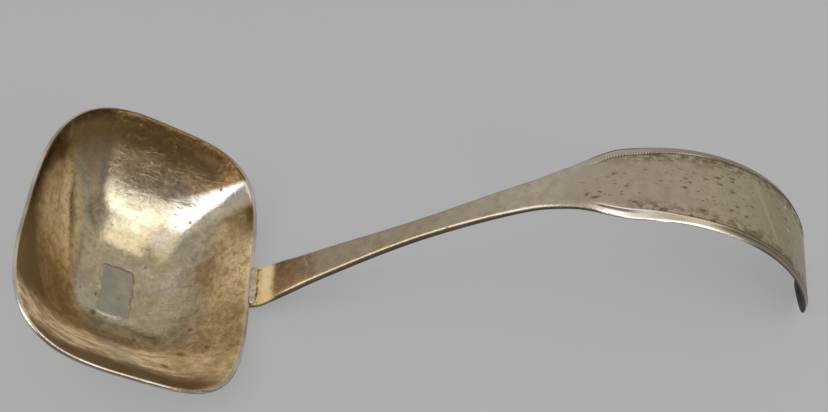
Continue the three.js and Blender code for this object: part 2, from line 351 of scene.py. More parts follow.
def section_height(share):
    """Height of the bowl's section: 0 in the middle, 1 at the rim."""
    width = WALL_SHARE - FLOOR_SHARE
    t = min(max((share - FLOOR_SHARE) / width, 0), 1)
    return (1 / WALL_RUN) * (width * (t**3 - t**4 / 2) + max(share - WALL_SHARE, 0))


def share_at(x, y, half_length=HALF_LENGTH, half_width=HALF_WIDTH):
    """Share of the way from the middle of the bowl to its rim, in plan."""
    power = HANDLE_SQUARENESS if x > 0 else FRONT_SQUARENESS
    return (abs(x / half_length) ** power + abs(y / half_width) ** power) ** (1 / power)


print("half way out, the bowl is", round(DEPTH * (1 - section_height(0.5)), 1), "mm deep")

# %% [markdown]
# Seen from above, the rim is a rounded square, a little squarer on the handle's side. Seen from
# the handle it is a shallow curve, which rises by three millimetres to the near and the far side.

# %% Pull a circle into the rim's outline
bpy.ops.mesh.primitive_circle_add(vertices=BOWL_POINTS, radius=1)
bowl = bpy.context.object
bowl.name = bowl.data.name = "silver_bowl"
for vertex in bowl.data.vertices:
    x, y, _ = vertex.co / share_at(vertex.co.x, vertex.co.y)
    vertex.co = Vector((x, y, RIM_RISE * (y / HALF_WIDTH) ** 2)) * mm
print("rim:", [round(size / mm, 1) for size in bowl.dimensions], "mm")

# %% [markdown]
# Each round of hammering is one ring. A ring is drawn in, and lowered to the depth that the
# section has there. The rise of the rim fades with the square of the distance from the middle.

# %% Raise the bowl from the rim down
def level_at(share):
    return -DEPTH * (1 - section_height(share)) * mm


def turn_faces_outwards():
    """Turn all faces of the piece in edit mode outwards, and leave edit mode."""
    bpy.ops.mesh.select_all(action="SELECT")
    bpy.ops.mesh.normals_make_consistent(inside=False)
    bpy.ops.object.mode_set(mode="OBJECT")


bpy.ops.object.mode_set(mode="EDIT")
bpy.ops.mesh.select_all(action="SELECT")
for ring in range(BOWL_RINGS, 1, -1):
    share, smaller = ring / BOWL_RINGS, (ring - 1) / BOWL_RINGS
    shrink = smaller / share
    middle = (0, 0, level_at(share))
    bpy.ops.mesh.extrude_region_move()
    bpy.ops.transform.resize(value=(shrink, shrink, shrink**2), center_override=middle)
    bpy.ops.transform.translate(value=(0, 0, level_at(smaller) - level_at(share)))
bpy.ops.mesh.merge(type="CENTER")
turn_faces_outwards()
print("bowl:", len(bowl.data.vertices), "points,", round(bowl.dimensions.z / mm, 1), "mm high")
lowest = min(bowl.data.polygons, key=lambda face: face.center.z)
print("the floor's outside faces", "down" if lowest.normal.z < 0 else "up")

# %% [markdown]
# The hammer leaves the sheet a little uneven, which shows as soft waves in what it reflects. A
# modifier moves the points by a cloudy pattern, about as large as the marks of the hammer.

# %% Hammer the sheet
HAMMERING = 0.22
HAMMER_MARK = 13


def finish_with(piece, kind, **settings):
    """Add a modifier and apply it at once."""
    bpy.context.view_layer.objects.active = piece
    modifier = piece.modifiers.new(kind.lower(), kind)
    for name, value in settings.items():
        setattr(modifier, name, value)
    bpy.ops.object.modifier_apply(modifier=modifier.name)


hammer = bpy.data.textures.new("hammer_marks", "CLOUDS")
hammer.noise_scale = HAMMER_MARK * mm
hammer.noise_depth = 1
finish_with(bowl, "DISPLACE", texture=hammer, strength=HAMMERING * mm, texture_coords="LOCAL")
print("hammered, the bowl is", round(bowl.dimensions.z / mm, 2), "mm high")

# %% [markdown]
# Then the sheet gets its thickness, with more of it at the rim, where a bowl is bumped against
# everything. Each point also keeps its share of the way to the rim, for the finish to read.

# %% Give the sheet its thickness
SHEET = 0.9
RIM_THICKNESS = 1.2
RIM_BAND_START = 0.8
RIM_BAND = 0.2


def smooth_step(value):
    t = min(max(value, 0), 1)
    return t * t * (3 - 2 * t)


def near_rim(share):
    """0 on the floor and the wall, rising to 1 at the rim."""
    return smooth_step((share - RIM_BAND_START) / RIM_BAND)


def mark(piece, name, values):
    """Keep one number for each point, for a finish to read."""
    attribute = piece.data.attributes.new(name, "FLOAT", "POINT")
    attribute.data.foreach_set("value", values)


shares = [share_at(vertex.co.x / mm, vertex.co.y / mm) for vertex in bowl.data.vertices]
outside_count = len(shares)
mark(bowl, "rim_share", shares)
thickening = bowl.vertex_groups.new(name="thickness")
for vertex, share in zip(bowl.data.vertices, shares):
    wall = SHEET + (RIM_THICKNESS - SHEET) * near_rim(share)
    thickening.add([vertex.index], wall / RIM_THICKNESS, "REPLACE")
finish_with(
    bowl, "SOLIDIFY", thickness=RIM_THICKNESS * mm, offset=-1, use_even_offset=True,
    vertex_group="thickness",
)
print("bowl:", outside_count, "points outside,", len(bowl.data.vertices), "in all")

# %% [markdown]
# The rim's edge is square to the sheet, but next to the handle it is filed level, and there its
# full width shows from above. Use has rounded its corners.

# %% File the rim level next to the handle
FILED = 1.05
FILED_FROM = 10
FILED_OVER = 12
RIM_ROUNDING = 0.4


def round_edges(piece, width, segments):
    """Round off the sharp edges of a piece."""
    settings = {"limit_method": "ANGLE", "angle_limit": math.radians(50)}
    finish_with(piece, "BEVEL", width=width * mm, segments=segments, **settings)


def subdivide(piece):
    """Smooth out the facets of a piece."""
    finish_with(piece, "SUBSURF", levels=1, render_levels=1)


level_places = [vertex.co.copy() for vertex in bowl.data.vertices]
for i in range(outside_count, 2 * outside_count - 1 - BOWL_POINTS):
    inward = (level_places[i + BOWL_POINTS] - level_places[i]).normalized()
    by_handle = smooth_step((level_places[i].x / mm - FILED_FROM) / FILED_OVER)
    share = shares[i - outside_count]
    bowl.data.vertices[i].co = level_places[i] + inward * FILED * near_rim(share) * by_handle * mm
mark(bowl, "inside", [float(i >= outside_count) for i in range(len(bowl.data.vertices))])
round_edges(bowl, RIM_ROUNDING, 3)
subdivide(bowl)
print("bowl:", len(bowl.data.vertices), "points, with the rim rounded by", RIM_ROUNDING, "mm")

# %% [markdown]
# ## How the ladle leans
# Bowl and handle are modelled level, with the bowl's rim in the plane of X and Y, and are then
# tipped towards the handle, as the real ladle tips when it is put down.

# %% Tip a finished piece into its place
LEAN = math.radians(36.4022)
RIM_PLACE = Vector((-1.751, 0, 20.997)) * mm


def take_in_hand(piece):
    """Select one piece, and nothing else."""
    bpy.ops.object.select_all(action="DESELECT")
    piece.select_set(True)
    bpy.context.view_layer.objects.active = piece


def put_down(piece):
    """Tip a piece that was modelled level, and keep its place in its mesh."""
    take_in_hand(piece)
    piece.rotation_euler = (0, LEAN, 0)
    piece.location = RIM_PLACE
    bpy.ops.object.transform_apply(location=True, rotation=True, scale=True)


put_down(bowl)
print("lowest point:", round(min(vertex.co.z for vertex in bowl.data.vertices) / mm, 2), "mm")

# %% [markdown]
# Standing on the same spot for years has worn a small flat into the outside. It is cut here with
# one plane, the table's, and what is below it falls away.

# %% Wear a flat where the bowl stands
bpy.ops.object.mode_set(mode="EDIT")
bpy.ops.mesh.select_all(action="SELECT")
bpy.ops.mesh.bisect(
    plane_co=(0, 0, 0), plane_no=(0, 0, 1), use_fill=True, clear_inner=True, threshold=0.001 * mm
)
bpy.ops.object.mode_set(mode="OBJECT")
bpy.ops.object.shade_smooth_by_angle(angle=math.radians(40))
print("bowl:", len(bowl.data.polygons), "faces")

# %% [markdown]
# ## The handle
# The stem and the hook are one forging. A smith makes it straight and flat, files its outline and
# its edges, and then bends it. The same order works here: cross sections are joined along a
# straight line, and a Curve modifier bends the result. First come its lengths, from the rim along
# its top face, and its widths and thicknesses at the places where these change.

# %% Sizes of the handle, from the rim along its top face
HEEL = 6.5
HEEL_ROUNDING = 3.5
ROOT = 3
STEM = 72
CROOK = 96.8
END_ROUNDING = 8
END_SQUARENESS = 3.2
STEM_END = ROOT + STEM
HANDLE_END = STEM_END + CROOK
THROAT = STEM_END + 9.5
SHOULDER = STEM_END + 23.5

WIDTHS = [
    (-HEEL, 7), (0, 11.8), (19, 8.9), (49, 6), (STEM_END, 8.3), (THROAT, 11.6),
    (SHOULDER, 20), (HANDLE_END - 24, 23), (HANDLE_END - END_ROUNDING, 22.3),
]
THICKNESSES = [(-HEEL, 0.8), (0, 1.9), (14, 2.3), (53, 2.3), ((THROAT + SHOULDER) / 2, 1.3)]
print("the handle is", round(HEEL + HANDLE_END, 1), "mm long, heel included")

# %% [markdown]
# A file takes off metal in long even strokes, so the outline flows from one width to the next. A
# curve does the same if it has the same slope on both sides of each place, and is never steeper
# than the sizes ask for. The two ends are rounded off by hand.

# %% Widths between the places
def size_at(places, at):
    """A size that changes smoothly along the handle, without bumps between its places."""
    last = len(places) - 1
    if at <= places[0][0]:
        return places[0][1]
    if at >= places[last][0]:
        return places[last][1]

    def rise(k):
        return (places[k + 1][1] - places[k][1]) / (places[k + 1][0] - places[k][0])

    def slope(k):
        if k in (0, last) or rise(k - 1) * rise(k) <= 0:
            return 0
        return 2 * rise(k - 1) * rise(k) / (rise(k - 1) + rise(k))

    i = next(k for k, (place, _) in enumerate(places) if place > at) - 1
    (start, size), (end, next_size) = places[i], places[i + 1]
    t = (at - start) / (end - start)
    blend = size + (next_size - size) * smooth_step(t)
    return blend + (end - start) * (t * (1 - t) ** 2 * slope(i) - t * t * (1 - t) * slope(i + 1))


def left_at_end(outward):
    """Share of the width that a rounded end leaves. Outward goes from 0 to 1 at the tip."""
    return math.sqrt(1 - (0.995 * min(max(outward, 0), 1)) ** END_SQUARENESS)


def half_width(at):
    tip = left_at_end(1 - (HANDLE_END - at) / END_ROUNDING)
    heel = left_at_end(1 - (at + HEEL) / HEEL_ROUNDING)
    return size_at(WIDTHS, at) / 2 * tip * heel


print("the stem is", round(2 * half_width(ROOT + STEM / 2), 1), "mm wide half way up")

# %% [markdown]
# The stem is nearly square in section, with rounded top edges. On the wide end a hollow border is
# filed away round a raised panel. It opens just before the shoulders, and is a little wider on the
# side away from the camera.

# %% Outline of the border and of the panel
STEM_EDGE = 1.4
NECK_EDGE = 1.9
NECK_START = 62
NECK_LENGTH = 16
BORDER = 1.7
BORDER_START = SHOULDER - 10
BORDER_OPENING = 4
BORDER_NARROWING = 12
SHOULDER_BORDER = {-1: 1.9, 1: 2.3}
HOOK_BORDER = {-1: 1.45, 1: 1.6}


def border_at(at, side):
    """How much the border has opened, and its width. Side is 1 away from the camera, else -1."""
    spread = smooth_step((at - BORDER_START) / BORDER_OPENING)
    neck = smooth_step((at - NECK_START) / NECK_LENGTH)
    edge = STEM_EDGE + (NECK_EDGE - STEM_EDGE) * neck
    narrower = smooth_step((at - SHOULDER) / BORDER_NARROWING)
    width = SHOULDER_BORDER[side] + (HOOK_BORDER[side] - SHOULDER_BORDER[side]) * narrower
    return spread, edge + (width - edge) * spread


def panel_half_width(at, side):
    """The panel's outline is the handle's outline, moved in by the border."""
    end_start = HANDLE_END - END_ROUNDING
    half = half_width(min(at, end_start))
    edge = min(border_at(at, side)[1], 0.45 * half)
    return (half - edge) * left_at_end((at - end_start) / (END_ROUNDING - BORDER))


print("at the shoulders the panel is", round(2 * panel_half_width(SHOULDER, 1), 1), "mm wide")

# %% [markdown]
# The border starts steep at the shoulders and soon gets shallow. The panel's edge stands up as a
# fine bead, with a cut line inside it. It is milled with small ticks, and most are worn down.

# %% The cross section at one place along the handle
STEM_EDGE_DROP = 1.05
STEEP_DROP = 1.1
STEEP_LENGTH = 6
SHALLOWING = 18
BORDER_DROP = 0.5
HOLLOW = 1.25
OUTER_LIP = 0.24
EDGE_BEAD = 0.08
LINE_DEPTH = 0.17
LINE_WIDTH = 0.22
TICK_SPACING = 0.66
TICK_HEIGHT = 0.07
TICKED_LENGTH = 26
TICKS_FADE = 8
STEM_BELLY = 0.45
END_BELLY = 0.3
PANEL_SHARES = (0, 0.3, 0.6, 0.85, 1)
BORDER_STEPS = 8
UNDERSIDE_SHARES = (1, 0.94, 0.8, 0.55, 0.28, 0)


def half_section(at, side):
    """Points from the middle of the top, round one edge, to the middle of the underside."""
    half = half_width(at)
    thick = size_at(THICKNESSES, at)
    spread, _ = border_at(at, side)
    off_bowl = smooth_step(at / ROOT)
    panel = min(panel_half_width(at, side), 0.97 * half)
    narrow = min(LINE_WIDTH, 0.2 * panel)
    steep = 1 - smooth_step((at - BORDER_START - STEEP_LENGTH) / SHALLOWING)
    drop = min(BORDER_DROP + (STEEP_DROP - BORDER_DROP) * steep, 0.72 * thick)
    fade = smooth_step((at - SHOULDER - TICKED_LENGTH + TICKS_FADE) / TICKS_FADE)
    ticks = TICK_HEIGHT * (spread * (1 - fade)) * math.cos(2 * math.pi * at / TICK_SPACING)

    def height(q):
        """Height at share q of the border's width."""
        rounded = STEM_EDGE_DROP * (1 - math.sqrt(max(1 - q * q, 0))) * off_bowl
        hollow = drop * (1 - (1 - q) ** HOLLOW) + OUTER_LIP * q**8
        return -(rounded + (hollow - rounded) * spread)

    start = min(max((at - (HANDLE_END - BORDER)) / BORDER, 0), 1)
    top = height(start)
    points = [(share * (panel - 3 * narrow), top) for share in PANEL_SHARES]
    points.append((panel - 2 * narrow, top - LINE_DEPTH * spread))
    points.append((panel - narrow, top + (EDGE_BEAD + ticks) * spread))
    for step in range(BORDER_STEPS + 1):
        q = step / BORDER_STEPS
        q = q + 0.25 * q * (1 - q)
        out = panel - 0.3 * narrow + (half - panel + 0.3 * narrow) * q
        points.append((out, height(start + (1 - start) * q)))
    belly = thick * (STEM_BELLY + (END_BELLY - STEM_BELLY) * spread)
    points += [(share * half, -thick + belly * share**4) for share in UNDERSIDE_SHARES]
    return points


def whole_section(at):
    """Both sides, as one ring of (across, height)."""
    near = [(-across, height) for across, height in half_section(at, -1)]
    far = half_section(at, 1)
    return far + near[-2:0:-1]


print("a cross section has", len(whole_section(SHOULDER)), "points")

# %% [markdown]
# The sections need not be evenly spaced. Three for every tick are enough to cut it, the plain
# stem does with few, and the rounded ends want them close together.

# %% Places along the handle
LAP_STEP = 0.5
ROOT_STEP = 0.4
STEM_STEP = 1.4
PLAIN_STEP = 1.1
HEEL_STEPS = 8
TIP_STEPS = 16


def spaced(start, end, step):
    return [start + step * i for i in range(int((end - start) / step))]


def stations():
    """Places along the handle, closer together at the rounded ends and at the ticks."""
    heel_turns = [i / HEEL_STEPS * math.pi / 2 for i in range(HEEL_STEPS)]
    tip_turns = [i / TIP_STEPS * math.pi / 2 for i in range(TIP_STEPS + 1)]
    heel = [-HEEL + HEEL_ROUNDING * (1 - math.cos(turn)) for turn in heel_turns]
    tip = [HANDLE_END - END_ROUNDING * (1 - math.sin(turn)) for turn in tip_turns]
    lap = spaced(-HEEL + HEEL_ROUNDING, 0, LAP_STEP)
    root = [ROOT_STEP * i for i in range(int(ROOT / ROOT_STEP) + 1)]
    ticks_start, ticks_end = BORDER_START + 1, SHOULDER + TICKED_LENGTH
    stem = spaced(ROOT, ticks_start, STEM_STEP)
    ticked = spaced(ticks_start, ticks_end, TICK_SPACING / 3)
    plain = spaced(ticks_end, HANDLE_END - END_ROUNDING, PLAIN_STEP)
    return heel + lap + root + stem + ticked + plain + tip


places_along = stations()
sections = [whole_section(at) for at in places_along]
points_round = len(sections[0])
print("handle:", len(places_along), "sections of", points_round, "points")

# %% [markdown]
# A circle with as many points as a section is extruded once for each place. Then every ring takes
# the shape of its section, as a rolled bar is forged to shape from one end to the other.

# %% Join the cross sections along a straight line
def ringed(name, rings):
    """Extrude a circle once for each ring, and move every ring to its place."""
    bpy.ops.object.select_all(action="DESELECT")
    bpy.ops.mesh.primitive_circle_add(vertices=len(rings[0]), radius=mm)
    piece = bpy.context.object
    piece.name = piece.data.name = name
    bpy.ops.object.mode_set(mode="EDIT")
    bpy.ops.mesh.select_all(action="SELECT")
    for _ in rings[1:]:
        bpy.ops.mesh.extrude_region_move(TRANSFORM_OT_translate={"value": (mm, 0, 0)})
    bpy.ops.object.mode_set(mode="OBJECT")
    for vertex, place in zip(piece.data.vertices, (p for ring in rings for p in ring)):
        vertex.co = place
    return piece


handle_rings = [
    [Vector((at + HEEL, y, z)) * mm for y, z in section]
    for at, section in zip(places_along, sections)
]
handle = ringed("silver_handle", handle_rings)
print("handle:", len(handle.data.vertices), "points")

# %% [markdown]
# The handle's finish has to know, after bending too, how far along and across a point is, how far
# outside the panel's edge, how far from the handle's edge, and whether it is on the top.

# %% Keep the handle's numbers for its finish
top_points = points_round // 2 - len(UNDERSIDE_SHARES)
numbers = {"along": [], "across": [], "past_line": [], "to_edge": [], "top": []}
for at, section in zip(places_along, sections):
    for k, (across, _) in enumerate(section):
        panel = panel_half_width(at, 1 if across > 0 else -1)
        numbers["along"].append(at)
        numbers["across"].append(across)
        numbers["past_line"].append(max(abs(across) - panel, at - (HANDLE_END - BORDER)))
        numbers["to_edge"].append(half_width(at) - abs(across))
        numbers["top"].append(float(min(k, points_round - k) <= top_points))
for name, values in numbers.items():
    mark(handle, name, values)
print("each point of the handle keeps", ", ".join(numbers))

# %% [markdown]
# So far the handle is an open tube. A face across its first ring and one across its last make it
# solid.

# %% Close the two ends
def select_rings(piece, rings, count):
    """Select some rings of a piece, by number, and stay in edit mode."""
    bpy.ops.object.mode_set(mode="EDIT")
    bpy.ops.mesh.select_all(action="DESELECT")
    bpy.ops.object.mode_set(mode="OBJECT")
    for ring in rings:
        for i in range(ring * count, (ring + 1) * count):
            piece.data.vertices[i].select = True
    bpy.ops.object.mode_set(mode="EDIT")


def close_ends(piece, count):
    """Fill the first and the last ring, and turn all faces outwards."""
    last = len(piece.data.vertices) // count - 1
    for ring in (0, last):
        select_rings(piece, [ring], count)
        bpy.ops.mesh.edge_face_add()
    turn_faces_outwards()


close_ends(handle, points_round)
print("handle:", len(handle.data.polygons), "faces")

# %% [markdown]
# The bending line is worked out from where the handle points at each place: along the bowl's
# wall, up at the root, a little over along the stem, and round in the hook.

# %% Where the handle points
STEM_RISE = math.radians(69)
STEM_BEND = math.radians(6.5)
CROOK_TURN = math.radians(105.7)
CROOK_EASING = 8
JOINT_GAP = 0.3
PATH_STEP = 0.25
END_CURL = math.radians(12)
END_CURL_LENGTH = 12


def heading_at(at, wall_heading):
    start = wall_heading + (STEM_RISE - wall_heading) * smooth_step(at / ROOT)
    along_stem = max(at - ROOT, 0)
    past_stem = along_stem - STEM
    eased = (past_stem + math.hypot(past_stem, CROOK_EASING)) / 2
    curl = END_CURL * smooth_step((at - HANDLE_END + END_CURL_LENGTH) / END_CURL_LENGTH)
    return start - STEM_BEND * min(along_stem, STEM) / STEM - CROOK_TURN * eased / CROOK - curl


def wall_heading_at(share):
    """Slope of the bowl's outer wall towards the handle, as an angle."""
    slope = smooth_step((share - FLOOR_SHARE) / (WALL_SHARE - FLOOR_SHARE)) / WALL_RUN
    return math.atan(DEPTH * slope / HALF_LENGTH)


def bending_line():
    """Points (x, z) a small step apart: the heel under the bowl's wall, and then the rest."""
    line, share = [], 1
    for _ in range(int(HEEL / PATH_STEP) + 1):
        heading = wall_heading_at(share)
        x = share * HALF_LENGTH + JOINT_GAP * math.sin(heading)
        z = -DEPTH * (1 - section_height(share)) - JOINT_GAP * math.cos(heading)
        line.insert(0, (x, z))
        share -= PATH_STEP * math.cos(heading) / HALF_LENGTH
    x, z = line[-1]
    for step in range(int(HANDLE_END / PATH_STEP)):
        heading = heading_at((step + 0.5) * PATH_STEP, wall_heading_at(1))
        x += PATH_STEP * math.cos(heading)
        z += PATH_STEP * math.sin(heading)
        line.append((x, z))
    return line


bend_points = [Vector((x, 0, z)) * mm for x, z in bending_line()[::2]]
print("the bending line has", len(bend_points), "points")

# %% [markdown]
# The line becomes a curve, tipped as the bowl is, and the handle is bent along it. Twisting the
# curve a little towards its end turns the hook over, until one corner stands on the table.

# %% Bend the handle
CROOK_TWIST = math.radians(11)

curve = bpy.data.curves.new("bending_line", "CURVE")
curve.dimensions = "3D"
curve.twist_mode = "MINIMUM"
spline = curve.splines.new("POLY")
spline.points.add(len(bend_points) - 1)
for i, (point, place) in enumerate(zip(spline.points, bend_points)):
    place.rotate(Euler((0, LEAN, 0)))
    point.co = (*(place + RIM_PLACE), 1)
    at = 2 * PATH_STEP * i - HEEL
    point.tilt = CROOK_TWIST * smooth_step((at - STEM_END) / CROOK)
bender = bpy.data.objects.new("bending_line", curve)
bpy.context.scene.collection.objects.link(bender)
bpy.context.view_layer.update()
finish_with(handle, "CURVE", object=bender, deform_axis="POS_X")
bpy.data.objects.remove(bender)
subdivide(handle)
take_in_hand(handle)
bpy.ops.object.shade_smooth_by_angle(angle=math.radians(50))

# %% [markdown]
# ## The repair plate
# A worn or split bowl is mended with a thin plate of silver, soldered over the weak place. The
# plate is cut by hand, so its corners are rounded and its edges are not quite straight.

# %% Outline of the plate, and the floor below it
PLATE_LENGTH = 7.6
PLATE_WIDTH = 13.6
PLATE_X = 0.9
PLATE_Y = -2.7
PLATE_SQUARENESS = 9
LARGE_WOBBLE = 0.12
SMALL_WOBBLE = 0.07
PLATE_SKEW = 0.03


def floor_level(x, y):
    """Height of the bowl's inside surface."""
    half_length, half_width = HALF_LENGTH - RIM_THICKNESS, HALF_WIDTH - RIM_THICKNESS
    share = share_at(x, y, half_length, half_width)
    return RIM_RISE * (y / HALF_WIDTH) ** 2 - (DEPTH - SHEET) * (1 - section_height(share))


def plate_outline(turn, outward=0):
    """A point on the plate's hand-cut outline, at a share of a full turn."""
    angle = 2 * math.pi * turn
    c, s = math.cos(angle), math.sin(angle)
    half_length, half_width = PLATE_LENGTH / 2, PLATE_WIDTH / 2
    power = PLATE_SQUARENESS
    reach = (abs(c / half_length) ** power + abs(s / half_width) ** power) ** (-1 / power)
    reach += LARGE_WOBBLE * math.sin(3 * angle + 1) + SMALL_WOBBLE * math.sin(7 * angle)
    x, y = reach * c, reach * s
    length = math.hypot(x / half_length**2, y / half_width**2)
    return (
        PLATE_X + x + outward * x / half_length**2 / length - PLATE_SKEW * y,
        PLATE_Y + y + outward * y / half_width**2 / length,
    )


print("under the plate the floor is at", round(floor_level(PLATE_X, PLATE_Y), 2), "mm")

# %% [markdown]
# The cut plate is beaten down until it follows the floor of the bowl. Here rings of points are
# drawn in from its outline to its middle, and each point lies just above the floor.

# %% Lay the plate on the floor of the bowl
PLATE_THICKNESS = 0.36
PLATE_LIFT = 0.02
PLATE_ROUNDING = 0.1
PLATE_POINTS = 72
PLATE_RINGS = 7

plate_rings = []
for k in range(PLATE_RINGS):
    inward = 1 - k / PLATE_RINGS
    ring = []
    for i in range(PLATE_POINTS):
        x, y = plate_outline(i / PLATE_POINTS)
        x, y = PLATE_X + (x - PLATE_X) * inward, PLATE_Y + (y - PLATE_Y) * inward
        ring.append(Vector((x, y, floor_level(x, y) + PLATE_LIFT + PLATE_THICKNESS)) * mm)
    plate_rings.append(ring)
plate = ringed("repair_plate", plate_rings)
select_rings(plate, [PLATE_RINGS - 1], PLATE_POINTS)
bpy.ops.mesh.merge(type="CENTER")
turn_faces_outwards()
if plate.data.polygons[0].normal.z < 0:
    plate.data.flip_normals()
finish_with(plate, "SOLIDIFY", thickness=PLATE_THICKNESS * mm, offset=-1)
round_edges(plate, PLATE_ROUNDING, 2)
subdivide(plate)
put_down(plate)
bpy.ops.object.shade_smooth_by_angle(angle=math.radians(40))
print("plate:", len(plate.data.polygons), "faces")

# %% [markdown]
# Solder fills the corner between the plate and the floor. It ran further in some places than in
# others, so its width and height wander.

# %% Run the solder round the plate
SOLDER_WIDTH = 0.9
SOLDER_POINTS = 120
SOLDER_PROFILE = (
    (-0.2, -0.1), (-0.15, 0.34), (0.2, 0.26), (0.55, 0.12), (0.9, 0.02), (1.1, -0.14),
)


def solder_wander(turn):
    """How much wider or narrower the solder is, at a share of a full turn round the plate."""
    return 0.16 * math.sin(9 * math.pi * 2 * turn + 1) + 0.12 * math.sin(17 * math.pi * 2 * turn)


solder_rings = []
for out, height in SOLDER_PROFILE:
    ring = []
    for i in range(SOLDER_POINTS):
        wider = solder_wander(i / SOLDER_POINTS)
        x, y = plate_outline(i / SOLDER_POINTS, outward=SOLDER_WIDTH * out * (1 + wider))
        ring.append(Vector((x, y, floor_level(x, y) + height * (1 + 0.5 * wider))) * mm)
    solder_rings.append(ring)
plate_solder = ringed("plate_solder", solder_rings)
select_rings(plate_solder, [0, len(SOLDER_PROFILE) - 1], SOLDER_POINTS)
bpy.ops.mesh.bridge_edge_loops()
turn_faces_outwards()
subdivide(plate_solder)
put_down(plate_solder)
bpy.ops.object.shade_smooth()
print("solder round the plate:", len(plate_solder.data.polygons), "faces")

# %% [markdown]
# The handle is soldered to the rim. What shows of that joint is a low bead, uneven and pitted. It
# lies where the working model has it, a little lower, in the valley between rim and handle.

# %% Lay the bead between the rim and the handle
BEAD_HALF_WIDTH = 1.05
BEAD_HALF_HEIGHT = 0.34
BEAD_SHIFT = Vector((-0.38, 0, -0.46))
BEAD_SLOPE = -0.05
BEAD_SECTIONS = 60
BEAD_POINTS = 12

bead_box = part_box("handle_solder")
bead_length = 0.95 * (bead_box[1][1] - bead_box[0][1]) / mm
bead_middle = Vector([(bead_box[0][k] + bead_box[1][k]) / 2 for k in range(3)])
bead_rings = []
for k in range(BEAD_SECTIONS + 1):
    t = k / BEAD_SECTIONS
    thin = (1 - (2 * t - 1) ** 6) ** 0.5 * 0.99 + 0.01
    lump = 0.88 + 0.08 * math.sin(23 * t) + 0.05 * math.sin(61 * t + 1)
    ring = []
    for i in range(BEAD_POINTS):
        angle = 2 * math.pi * i / BEAD_POINTS
        outward = BEAD_HALF_WIDTH * thin * lump * math.cos(angle)
        upward = BEAD_HALF_HEIGHT * thin * lump * math.sin(angle)
        offset = Vector((outward, (t - 0.5) * bead_length, upward + BEAD_SLOPE * outward))
        ring.append(bead_middle + (offset + BEAD_SHIFT) * mm)
    bead_rings.append(ring)
bead = ringed("handle_bead", bead_rings)
close_ends(bead, BEAD_POINTS)
subdivide(bead)
bpy.ops.object.shade_smooth()
print("bead:", round(bead_length, 1), "mm long,", len(bead.data.polygons), "faces")

# %% [markdown]
# ## Gilding and wear in the bowl
# The bowl was gilt inside, to keep acid sauces off the silver. Gold is left on the walls. On the
# floor years of spoons and polish took it off, and the silver there is grey, with a trace of
# yellow. Outside and on the rim the silver is bare. The worn floor has four sides, and each is a
# smooth step across the bowl, at a place that wanders with the patterns.

# %% Where the gold is left
bowl_finish = Finish("worn_gilt_silver")
bowl_place = bowl_finish.turned(RIM_PLACE, (0, LEAN, 0))
bowl_x = bowl_finish.part("X", bowl_place) / mm
bowl_y = bowl_finish.part("Y", bowl_place) / mm
clouds = bowl_finish.noise(bowl_place, 85, detail=4, roughness=0.6)
mottle = bowl_finish.noise(bowl_place, 330, detail=5, roughness=0.65, distortion=0.6)
wander = 8 * (clouds - 0.5) + 3 * (mottle - 0.5)
wavy_x = bowl_x + wander
wavy_y = bowl_y + wander

from_left = bowl_x + 0.37 * bowl_y + 0.45 * wander + 1.6 * (mottle - 0.5)
worn_left = from_left.step(-12.6, -9.8)
worn_right = wavy_x.step(23, 16)
worn_near = (bowl_y + 0.1 * bowl_x + 0.7 * wander).step(-18, -13)
worn_far = wavy_y.step(34, 25)
worn = worn_left * worn_right * worn_near * (0.2 + 0.8 * worn_far)
bowl_finish.report()

# %% [markdown]
# The gold itself is uneven, from warm yellow to brown. The worn floor has cloudy patches too,
# where some gold is left or where the silver has gone grey.

# %% Colours of the gilding and of the worn floor
gold = bowl_finish.mix(mottle.step(0.35, 0.65), (0.52, 0.345, 0.15), (0.84, 0.6, 0.31))
gold = bowl_finish.mix(clouds.step(0.4, 0.65) * 0.7, gold, (0.34, 0.215, 0.085))
patches = bowl_finish.noise(bowl_place, 60, detail=3, distortion=0.4)
bare = bowl_finish.coated(
    bowl_finish.mix(mottle.step(0.3, 0.7), (0.47, 0.42, 0.29), (0.68, 0.63, 0.47)),
    (patches.step(0.42, 0.62) * 0.6, (0.5, 0.385, 0.2)),
    (clouds.step(0.5, 0.35) * 0.4, (0.4, 0.39, 0.3)),
)
lining = bowl_finish.mix(worn, gold, bare)
bowl_finish.report()

# %% [markdown]
# Bands of gold on the left wall, the near wall and the place before the handle are painted
# brighter:
# painted highlights. The far wall is painted darker, as painted shade, and darkest along one edge.

# %% Painted highlights on the gold, and painted shade on the far wall
rim_share = bowl_finish.attribute("rim_share")
rubs = bowl_finish.noise(bowl_finish.stretched(bowl_place, (0.2, 1, 0.5)), 700, detail=4)
near_y = bowl_y + 0.7 * wander
# Painted highlights: bands of brighter gold where the walls would catch the light.
left_highlight = from_left.step(-16, -14) * from_left.step(-11.4, -12.8)
left_highlight = left_highlight * wavy_y.step(2, 9) * wavy_y.step(25, 17)
near_highlight = near_y.step(-32, -27) * near_y.step(-17, -22)
near_highlight = near_highlight * (0.6 + 0.4 * rubs.step(0.42, 0.58)) * (1 - 0.5 * bowl_x.step(8, 18))
root_highlight = (bowl_x + 0.5 * wander).step(20, 25) * bowl_y.step(-8, 3) * bowl_y.step(22, 8)
painted_highlights = (left_highlight + near_highlight + root_highlight).clamped()
painted_highlights = painted_highlights * (0.75 + 0.25 * mottle.step(0.35, 0.65))
left_gold = from_left.step(-11.5, -13.5) * wavy_y.step(-6, 4) * wavy_y.step(22, 14)
left_gold = left_gold * (rim_share + 0.1 * (mottle - 0.5)).step(1.0, 0.86)
# Painted shade: the far wall is darker, and darkest in a band just above a crisp edge.
far_wall_shade = wavy_y.step(17, 25) * worn
far_edge = bowl_y - 0.42 * (bowl_x - 6).at_least(0) - 22.7 + 0.12 * wander
far_shade = far_edge.step(-0.5, 1.3) * bowl_x.step(-13, -8) * far_edge.step(8, 3)
